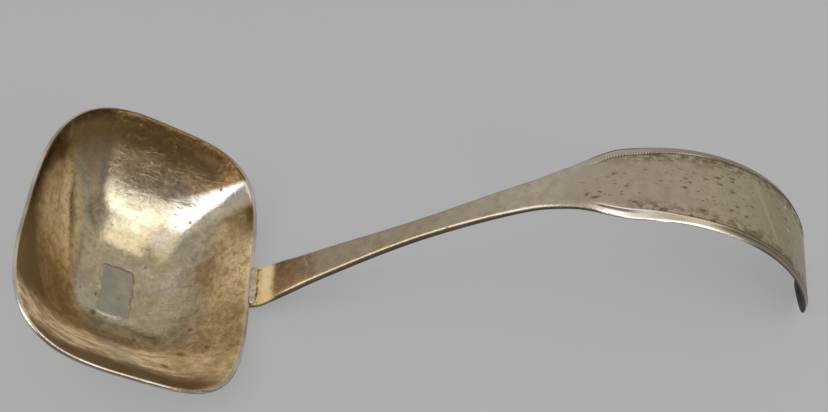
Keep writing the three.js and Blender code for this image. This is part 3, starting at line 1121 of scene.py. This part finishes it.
lining = bowl_finish.coated(
    lining,
    (left_gold * 0.6, (0.98, 0.73, 0.4)),
    (painted_highlights * 0.92, (1.0, 0.78, 0.47)),
    (far_wall_shade * 0.55, (0.42, 0.35, 0.27)),
    (far_shade * 0.62, (0.2, 0.15, 0.1)),
)
bowl_finish.report()

# %% [markdown]
# Close to the rim the gold is brown with tarnish, and painted shade darkens the far side and the
# near left corner further. A painted shadow is darkest right under the far side of the rim.

# %% Brown tarnish and painted shade under the rim
rim_brown = (rim_share + 0.14 * (clouds - 0.5)).step(0.78, 0.98)
rim_brown = rim_brown * (0.45 + 0.55 * mottle.step(0.35, 0.6))
# Painted shade on the far side, near the rim.
far_corner_shade = bowl_x.step(26, 12) * wavy_y.step(8, 26)
far_corner_shade = far_corner_shade * (rim_share + 0.1 * (clouds - 0.5)).step(0.62, 0.84)
left_brown = (bowl_x + 0.4 * bowl_y + wander).step(-21, -31) * (0.85 - 0.5 * left_gold)
# Painted shade in the near left corner.
near_corner_shade = (0.6 * bowl_x + bowl_y + wander).step(-18, -29)
near_corner_shade = near_corner_shade * (rim_share + 0.1 * (mottle - 0.5)).step(0.62, 0.82)
low_left = from_left.step(-11.5, -14) * wavy_y.step(3, -8)
low_right = bowl_x.step(15, 23) * wavy_y.step(25, 13)
tarnish_and_shade = rim_brown + 0.65 * far_corner_shade + left_brown + 0.7 * near_corner_shade + 0.4 * low_left
tarnish_and_shade = tarnish_and_shade.clamped() * (1 - 0.8 * near_highlight) * (1 - 0.6 * root_highlight)
tarnish_and_shade = tarnish_and_shade * (1 - 0.8 * low_right)
# Painted shadow right under the far side of the rim.
far_rim_shadow = (rim_share + 0.02 * (mottle - 0.5)).step(0.93, 0.985)
far_rim_shadow = far_rim_shadow * (bowl_y - 0.3 * bowl_x).step(4, 14)
lining = bowl_finish.coated(
    lining,
    (tarnish_and_shade * 0.84, (0.18, 0.1, 0.03)),
    (far_rim_shadow * 0.8, (0.075, 0.04, 0.014)),
)
bowl_finish.report()

# %% [markdown]
# A few places have a look of their own: a pale patch towards the handle, the floor that the
# torch browned beside the plate, a grey strip on the left, and the bare corner by the handle.

# %% Places with a look of their own
def stain_at(across_x, across_y, x, y, radius):
    """1 inside a round stain, and 0 outside it."""
    away = ((across_x - x) * (across_x - x) + (across_y - y) * (across_y - y)) ** 0.5
    return away.step(radius, 0.35 * radius)


pale_patch = stain_at(wavy_x, wavy_y, 16, -1, 8)
beside_plate = stain_at(wavy_x, bowl_y, 8.5, -6.5, 11)
left_strip = from_left.step(-12, -10) * from_left.step(-3, -7) * wavy_y.step(10, -3)
corner = wavy_x.step(5, 13) * (bowl_y - 0.6 * bowl_x + 0.3 * wander).step(7, 11)
corner = corner * far_edge.step(0.8, -0.8)
below_corner = corner * (bowl_y - 0.5 * bowl_x + 0.2 * wander).step(15.5, 13.2)
lining = bowl_finish.coated(
    lining,
    (pale_patch * 0.35, (0.85, 0.76, 0.56)),
    (beside_plate * 0.45, (0.42, 0.31, 0.15)),
    (left_strip * 0.5, (0.38, 0.345, 0.235)),
    (corner * 0.7, (0.88, 0.85, 0.79)),
    (below_corner * 0.6, (0.74, 0.56, 0.38)),
)
bowl_finish.report()

# %% [markdown]
# Small dark pits are left where food acids ate into the silver, and spots of flux round the
# repair. A few have their own places, and the rest are scattered.

# %% Pits and stains
PITS = (
    (2.0, -18.2, 0.8), (6.8, -15.8, 0.8), (18.4, -11.6, 0.8), (16.4, -19.8, 1.3),
    (12.0, -25.2, 1.2), (-3.4, -4.8, 0.9), (-3.6, -10.4, 1.2), (21.5, -17.5, 0.9),
)
pit_x = bowl_x + 1.2 * (mottle - 0.5)
pit_y = bowl_y + 1.2 * (clouds - 0.5)
pits = 0.0
for x, y, radius in PITS:
    pits = stain_at(pit_x, pit_y, x, y, radius) + pits
specks = bowl_finish.spots(bowl_place, 230, 0.13) * clouds.step(0.42, 0.6)
pits = (pits + specks * 0.8).clamped()
lining = bowl_finish.mix(pits * 0.75, lining, (0.075, 0.045, 0.022))
print("bowl:", len(PITS), "pits with places of their own")

# %% [markdown]
# A fine grime dulls the gold more than the scrubbed floor. Scouring left thin scratches along the
# bowl and across it.

# %% Grime and scratches
fine = bowl_finish.noise(bowl_place, 1400, detail=3, roughness=0.7)
grime = bowl_finish.noise(bowl_place, 560, detail=4, roughness=0.65, distortion=0.3)
streaks = bowl_finish.noise(bowl_finish.stretched(bowl_place, (1, 0.16, 0.5)), 900, detail=4)
dull = (0.55 + 0.45 * (1 - worn)) * (1 - 0.7 * corner) * (1 - 0.6 * near_highlight)
scratches_across = streaks.step(0.58, 0.66)
scratches_along = rubs.step(0.6, 0.68)
lining = bowl_finish.coated(
    lining,
    (grime.step(0.5, 0.62) * 0.42 * dull, (0.25, 0.16, 0.06)),
    (grime.step(0.44, 0.34) * 0.3 * dull * (1 - tarnish_and_shade), (1.0, 0.78, 0.46)),
    (fine.step(0.5, 0.66) * 0.4 * dull, (0.22, 0.15, 0.07)),
    (scratches_across * 0.07, (0.9, 0.72, 0.45)),
    (scratches_along * 0.22, (0.24, 0.18, 0.1)),
)
bowl_finish.report()

# %% [markdown]
# The lining covers the inside, and bare silver the outside and the rim. Where highlights are
# painted on the gold, it is made rougher and less metallic, so that it takes light from all sides.
# The same patterns move the surface up and down by less than a tenth of a millimetre.

# %% Finish the bowl
inside = bowl_finish.attribute("inside").step(0.75, 0.95)
outside = bowl_finish.mix(clouds.step(0.35, 0.7), (0.66, 0.6, 0.51), (0.42, 0.36, 0.27))
rough_inside = 0.14 * (1 - worn) * wavy_y.step(16, 6) - 0.05 * corner + 0.3 * painted_highlights
bowl_height = 0.6 * mottle + 0.6 * clouds + 0.25 * grime
bowl_height = bowl_height - 0.5 * pits - 0.05 * scratches_across - 0.12 * scratches_along
bowl_finish.set(
    Base_Color=bowl_finish.mix(inside, outside, lining),
    Metallic=1.0 - (0.3 * pits + 0.9 * near_highlight + 0.45 * left_gold) * inside,
    Roughness=0.15 + 0.12 * mottle + rough_inside * inside + 0.2 * pits,
    Normal=bowl_finish.bump(bowl_height, 0.09 * mm, 0.9),
)
bowl.data.materials.append(bowl_finish.material)
bowl_finish.report()

# %% [markdown]
# ## Tarnish on the handle
# Silver tarnishes in the corners beside the border, where hands and cloths do not reach. The sides
# and the underside of the stem are painted dark, as painted shade. The stem itself is a little
# browner than the neck above it.

# %% The bare silver of the handle
handle_finish = Finish("tarnished_silver")
along, across, past_line, to_edge, top = [
    handle_finish.attribute(name) for name in ("along", "across", "past_line", "to_edge", "top")
]
flat_parts = {0: along * 0.001, 1: across * 0.001, 2: top * 0.01}
flat = handle_finish.node("ShaderNodeCombineXYZ", {}, flat_parts)
film = handle_finish.noise(flat, 95, detail=4, roughness=0.6)
grain = handle_finish.noise(flat, 420, detail=4, roughness=0.65)
speckle = grain.step(0.3, 0.7)
stem_tone = handle_finish.mix(speckle, (0.37, 0.295, 0.195), (0.47, 0.385, 0.27))
neck_tone = handle_finish.mix(speckle, (0.46, 0.4, 0.31), (0.58, 0.51, 0.41))
silver = handle_finish.mix((along + 16 * (film - 0.5)).step(40, 80), stem_tone, neck_tone)
silver = handle_finish.mix(film.step(0.45, 0.75) * 0.4, silver, (0.33, 0.255, 0.16))
handle_finish.report()

# %% [markdown]
# The panel has a film that is greenish towards the hook and pinkish at the shoulders. The hollow
# border round it stays brighter, and a painted highlight makes it brighter still on the near side.
# One scratch of polish is pale, and two painted glints stand for small dents that catch the light.

# %% The panel and its hollow border
on_panel = (along + 14 * (film - 0.5)).step(SHOULDER - 20, SHOULDER) * past_line.step(0.1, -0.3)
pinkish = (along + 30 * (film - 0.5)).step(SHOULDER + 40, SHOULDER + 4)
film_colour = handle_finish.mix(pinkish, (0.45, 0.4, 0.24), (0.5, 0.42, 0.33))
film_colour = handle_finish.mix(speckle * 0.5, film_colour, (0.34, 0.29, 0.175))
near_side = across.step(0, -1)
ledge = past_line.step(-0.3, -0.1) * along.step(BORDER_START, BORDER_START + 4)
# Painted highlight on the near side of the border, by the shoulders.
near_ledge_highlight = ledge * near_side * along.step(SHOULDER + 10, SHOULDER)
ledge_end = ledge * (along + 10 * (film - 0.5)).step(SHOULDER - 2, SHOULDER + 14)
polish_line = (along + 0.46 * across - 134.7 + 1.2 * (film - 0.5)).size().step(1.3, 0.1)
polish_line = polish_line * on_panel
# Painted glints: two small bright spots on the hook.
glints = stain_at(along, across, 144.8, 0.2, 0.7) + stain_at(along, across, 144.5, 6.2, 0.7)
silver = handle_finish.coated(
    silver,
    (on_panel, film_colour),
    (ledge * 0.85, (0.54, 0.46, 0.375)),
    (near_ledge_highlight * 0.6, (0.85, 0.79, 0.74)),
    (ledge_end * 0.85, (0.33, 0.27, 0.175)),
    (polish_line * 0.3 * grain.step(0.3, 0.6), (0.85, 0.78, 0.6)),
    (glints * 0.8, (1.0, 0.97, 0.9)),
)
handle_finish.report()

# %% [markdown]
# Dirt lies in the corner beside the panel's edge. The panel has many small dark spots, longer
# than they are wide, and they are thickest in two places.

# %% Dirt beside the border, and dark spots
beside = past_line.step(-4.6, -0.5) * past_line.step(0.0, -0.2)
beside = beside * (along + 8 * (film - 0.5)).step(BORDER_START + 4, BORDER_START + 14)
long_spots = handle_finish.stretched(flat, (0.5, 1, 1))
spot_noise = handle_finish.noise(long_spots, 1150, detail=1.5, roughness=0.6)
dirt = 0.5 * film + 0.6 * grain + 0.6 * spot_noise - 0.05 * near_side
dirt = beside * dirt.step(0.73, 0.9)
thick_of_spots = stain_at(along, across, 118, 2, 13) + stain_at(along, across, 94, -3.5, 8)
spot_zone = (film + 0.5 * (grain - 0.5)).step(0.42, 0.6) * (0.25 + 0.75 * on_panel)
spot_zone = (spot_zone + 0.8 * thick_of_spots * grain.step(0.3, 0.5)).clamped()
ragged = handle_finish.stretched(flat, (0.42, 1, 1))
ragged_parts = {0: ragged, 1: 0.0012 * grain}
ragged = handle_finish.node("ShaderNodeVectorMath", {"operation": "ADD"}, ragged_parts)
large_spots = handle_finish.spots(ragged, 620, 0.3) * spot_zone
small_zone = (spot_noise + 0.32 * thick_of_spots * grain.step(0.36, 0.5)).step(0.56, 0.62)
small_spots = handle_finish.spots(ragged, 1250, 0.3) * small_zone
spots = (large_spots + 0.8 * small_spots).clamped() * (along + 20 * film).step(30, 60)
spots = spots * (1 - ledge)
silver = handle_finish.mix(dirt * 0.82, silver, (0.16, 0.115, 0.06))
handle_finish.report()

# %% [markdown]
# At the root the torch and the solder left their colours: a trace of gold, a warm brown above
# it, a dark stain, a green edge, and holes in the seam.

# %% Colours at the root
root_warm = (along + 4 * (film - 0.5)).step(24, 9) * (0.25 + 0.75 * grain.step(0.4, 0.56))
root_stain = (along + 6 * (film - 0.5)).step(18, 8)
root_stain = root_stain * (0.5 * film + grain + 0.3 * spot_noise).step(0.88, 1.0)
root_scratch = (along - 16.8 + 0.35 * across).size().step(0.32, 0.1) * across.step(0.1, 0.6)
root_gold = (along + 3 * (grain - 0.5)).step(7, 5.2)
root_green = along.step(3.4, 1.8) * grain.step(0.4, 0.6)
root_light = along.step(6, 4) * along.step(2.2, 3.2) * film.step(0.4, 0.6)
root_holes = handle_finish.spots(flat, 900, 0.24) * along.step(6, 4)
seam_holes = along.step(2.0, 1.3) * spot_noise.step(0.5, 0.56)
silver = handle_finish.coated(
    silver,
    (root_warm * 0.85, (0.76, 0.58, 0.38)),
    (root_stain * 0.55, (0.19, 0.14, 0.06)),
    (root_scratch * 0.45, (0.9, 0.74, 0.56)),
    (root_gold * 0.9, (1.0, 0.7, 0.34)),
    (root_green * 0.5, (0.42, 0.37, 0.17)),
    (root_light * 0.85, (1.0, 0.84, 0.54)),
    ((root_holes + seam_holes).clamped() * 0.8, (0.12, 0.08, 0.03)),
)
handle_finish.report()

# %% [markdown]
# The cut line round the panel is dark. The raised edge beside it has a painted highlight, and is
# dark between the ticks. On the near side, by the shoulder, the line is faint and the ticks are
# worn away, a painted shadow lies as a dark wedge where the border opens, and a painted highlight
# runs along the outer edge.

# %% The line and the ticks round the panel
tooth = (along * (2 * math.pi / TICK_SPACING)).cosine()
groove = (past_line + 2 * LINE_WIDTH).size().step(0.3, 0.08)
groove = groove * (1 - 0.75 * near_side * along.step(SHOULDER + 14, SHOULDER + 4))
near_groove = near_side * (past_line - 0.35).size().step(0.28, 0.08)
groove = groove + near_groove * along.step(SHOULDER + 14, SHOULDER + 26)
arris = (past_line + LINE_WIDTH).size().step(0.24, 0.08)
arris = arris * along.step(BORDER_START, BORDER_START + 3)
left_of_teeth = 1 - near_side * along.step(SHOULDER + 12, SHOULDER + 6)
teeth = tooth.step(0.2, -0.2) * along.step(SHOULDER + 20, SHOULDER + 6) * left_of_teeth
dark_line = (groove + 0.9 * arris * teeth).clamped()
dark_line = dark_line * along.step(BORDER_START + 1, BORDER_START + 5)
# Painted shadow: a dark wedge under the panel's edge, where the border opens.
wedge_shadow = past_line.step(-0.1, 0.1) * past_line.step(0.8, 0.4)
wedge_shadow = wedge_shadow * along.step(SHOULDER + 3, SHOULDER - 3)
wedge_shadow = wedge_shadow * along.step(BORDER_START, BORDER_START + 3) * near_side
# Painted highlights along the near outer edge and on the raised edge beside the line.
near_edge_highlight = to_edge.step(0.6, 0.35) * ledge * near_side
near_edge_highlight = near_edge_highlight * along.step(SHOULDER + 34, SHOULDER + 24)
edge_highlights = arris * (1 - teeth) * along.step(SHOULDER + 26, SHOULDER + 8)
edge_highlights = (edge_highlights + near_edge_highlight).clamped()
handle_finish.report()

# %% [markdown]
# The sides and the underside are painted dark brown, as painted shade. Painted shade also makes
# the inside of the hook greyer, and nearly black at its tip. Spots, dirt and the gold at the root
# are rougher than the polished silver.

# %% Finish the handle
hairlines = handle_finish.noise(handle_finish.stretched(flat, (0.12, 1, 1)), 1500, detail=3)
# Painted shade: the sides and the underside dark, and the inside of the hook darker towards its
# tip.
side_shade = (top.step(0.99, 0.8) + to_edge.step(0.3, 0.12) * (1 - near_edge_highlight)).clamped()
hook_shade = top.step(0.9, 0.5) * along.step(SHOULDER + 20, SHOULDER + 36)
tip_shade = hook_shade * along.step(HANDLE_END - 26, HANDLE_END - 12)
silver = handle_finish.coated(
    silver,
    (spots * 0.82, (0.115, 0.09, 0.055)),
    ((dark_line * 0.85 + 0.95 * wedge_shadow).clamped(), (0.11, 0.075, 0.042)),
    (edge_highlights * (0.4 + 0.4 * near_side), (0.95, 0.87, 0.79)),
    (side_shade * (0.75 + 0.25 * film), (0.12, 0.09, 0.065)),
    (hook_shade * 0.6, (0.17, 0.14, 0.1)),
    (tip_shade * 0.95, (0.05, 0.04, 0.03)),
)
rough_places = 0.18 * (spots + dirt).clamped() + 0.2 * root_gold + 0.25 * hook_shade
handle_height = 0.4 * grain + 0.12 * hairlines - 0.5 * spots + 0.4 * film
handle_finish.set(
    Base_Color=silver,
    Metallic=1.0 - 0.35 * dark_line - 0.9 * root_gold - 0.5 * wedge_shadow,
    Roughness=0.2 + 0.12 * grain + 0.1 * on_panel + rough_places,
    Normal=handle_finish.bump(handle_height, 0.04 * mm, 0.8),
)
handle.data.materials.append(handle_finish.material)
handle_finish.report()

# %% [markdown]
# ## Plate and solder
# The plate is of a paler, greyer silver than the bowl, and was never gilt.

# %% Finish the plate
plate_finish = Finish("dull_plate_silver")
plate_place = plate_finish.turned(RIM_PLACE, (0, LEAN, 0))
plate_clouds = plate_finish.noise(plate_place, 260, detail=5, roughness=0.6)
plate_grain = plate_finish.noise(plate_place, 1400, detail=3)
plate_silver = plate_finish.coated(
    plate_finish.mix(plate_clouds.step(0.3, 0.7), (0.34, 0.31, 0.235), (0.44, 0.405, 0.315)),
    (plate_finish.spots(plate_place, 300, 0.14) * 0.6, (0.14, 0.13, 0.11)),
)
plate_finish.set(
    Base_Color=plate_silver,
    Metallic=1.0,
    Roughness=0.38 + 0.15 * plate_clouds,
    Normal=plate_finish.bump(plate_grain + plate_clouds, 0.03 * mm, 0.8),
)
plate.data.materials.append(plate_finish.material)
plate_finish.report()

# %% [markdown]
# The solder is dull, with a yellow tint from the gold that melted into it, and with pinholes. It
# is lighter at the handle than round the plate.

# %% Finish the solder
def pitted_solder(name, dark, light):
    finish = Finish(name)
    place = finish.place()
    clouds = finish.noise(place, 420, detail=4, roughness=0.6)
    pinholes = finish.spots(place, 1100, 0.3) * clouds.step(0.45, 0.55)
    colour = finish.mix(clouds.step(0.35, 0.65), dark, light)
    finish.set(
        Base_Color=finish.mix(pinholes, colour, (0.05, 0.04, 0.03)),
        Metallic=1.0 - 0.6 * pinholes,
        Roughness=0.3 + 0.2 * clouds,
        Normal=finish.bump(clouds - pinholes, 0.08 * mm, 0.9),
    )
    return finish.material


SOLDERS = (
    (plate_solder, "solder_round_plate", (0.4, 0.34, 0.22), (0.56, 0.5, 0.36)),
    (bead, "solder_at_handle", (0.5, 0.41, 0.28), (0.76, 0.65, 0.49)),
)
for piece, name, dark, light in SOLDERS:
    piece.data.materials.append(pitted_solder(name, dark, light))
    print(piece.name, "has the finish", name)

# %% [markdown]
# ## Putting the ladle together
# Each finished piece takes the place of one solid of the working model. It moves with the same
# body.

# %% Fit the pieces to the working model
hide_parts("bowl")
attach(bowl, "root")
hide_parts("handle")
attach(handle, "root")
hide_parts("bowl_patch")
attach(plate, "root")
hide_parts("patch_solder")
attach(plate_solder, "root")
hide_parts("handle_solder")
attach(bead, "root")

# %% [markdown]
# Last, the lowest and the highest point of each piece are printed.

# %% Print how high each piece stands
for piece in (bowl, handle, plate, plate_solder, bead):
    heights = [vertex.co.z / mm for vertex in piece.data.vertices]
    print(piece.name, "stands from", round(min(heights), 2), "to", round(max(heights), 2), "mm")
